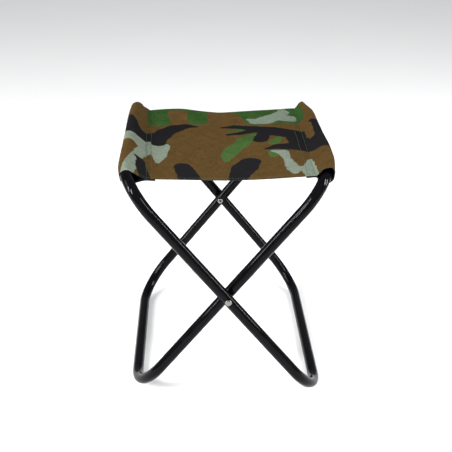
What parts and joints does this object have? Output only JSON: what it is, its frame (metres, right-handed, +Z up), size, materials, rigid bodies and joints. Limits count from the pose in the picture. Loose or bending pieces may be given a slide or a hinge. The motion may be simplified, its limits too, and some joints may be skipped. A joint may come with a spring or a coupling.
{
  "type": "folding camp stool",
  "caption": "Folding camp stool with two crossed loops of bent steel tube, riveted where their legs cross, and a cloth seat sewn round the top bars.",
  "frame": {"origin": "on the floor, midway between the four legs, under the pivots", "axes": "+Z up, +Y along the seat bars towards the rear pivot, +X across the crossed legs towards the outer frame's foot bar"},
  "size_m": [0.327, 0.4108, 0.4024],
  "materials": {
    "tube_paint": "gloss black enamel on steel tube",
    "joiner_steel": "bare steel tube",
    "rivet_zinc": "zinc-plated steel",
    "spacer_nylon": "moulded black nylon",
    "seat_cloth": null,
    "cloth_backing": "the cloth's black coated back",
    "thread": "green polyester sewing thread"
  },
  "bodies": {
    "outer_frame": {"outer_frame_tube": "tube_paint", "outer_frame_joiner": "joiner_steel", "front_rivet": "rivet_zinc", "rear_rivet": "rivet_zinc", "front_spacer": "spacer_nylon", "rear_spacer": "spacer_nylon", "left_sleeve": "seat_cloth"},
    "inner_frame": {"inner_frame_tube": "tube_paint", "inner_frame_joiner": "joiner_steel", "right_sleeve": "seat_cloth"},
    "seat_left": {"left_seat_panel": "seat_cloth", "left_underlap": "cloth_backing", "left_outer_seam_thread": "thread", "left_inner_seam_thread": "thread", "left_front_hem_thread": "thread", "left_rear_hem_thread": "thread"},
    "seat_right": {"right_seat_panel": "seat_cloth", "right_underlap": "cloth_backing", "right_outer_seam_thread": "thread", "right_inner_seam_thread": "thread", "right_front_hem_thread": "thread", "right_rear_hem_thread": "thread"}
  },
  "joints": [
    {"name": "fold", "type": "hinge", "parent": "outer_frame", "child": "inner_frame", "pos_m": [0, 0, 0.19813], "axis": [0, -1, 0], "range_deg": [0, 70], "deforming": ["left_sleeve", "right_sleeve", "left_seat_panel", "right_seat_panel", "left_underlap", "right_underlap", "left_outer_seam_thread", "left_inner_seam_thread", "right_outer_seam_thread", "right_inner_seam_thread", "left_front_hem_thread", "left_rear_hem_thread", "right_front_hem_thread", "right_rear_hem_thread"]},
    {"name": "left_seat_hang", "type": "hinge", "parent": "outer_frame", "child": "seat_left", "pos_m": [-0.15309, 0, 0.39197], "axis": [0, 1, 0], "range_deg": [0, 46]},
    {"name": "right_seat_hang", "type": "hinge", "parent": "inner_frame", "child": "seat_right", "pos_m": [0.15309, 0, 0.39197], "axis": [0, -1, 0], "range_deg": [0, 46]}
  ],
  "couplings": [
    {"joint": "left_seat_hang", "follows": "fold", "ratio": 0.645},
    {"joint": "right_seat_hang", "follows": "fold", "ratio": 0.645}
  ]
}
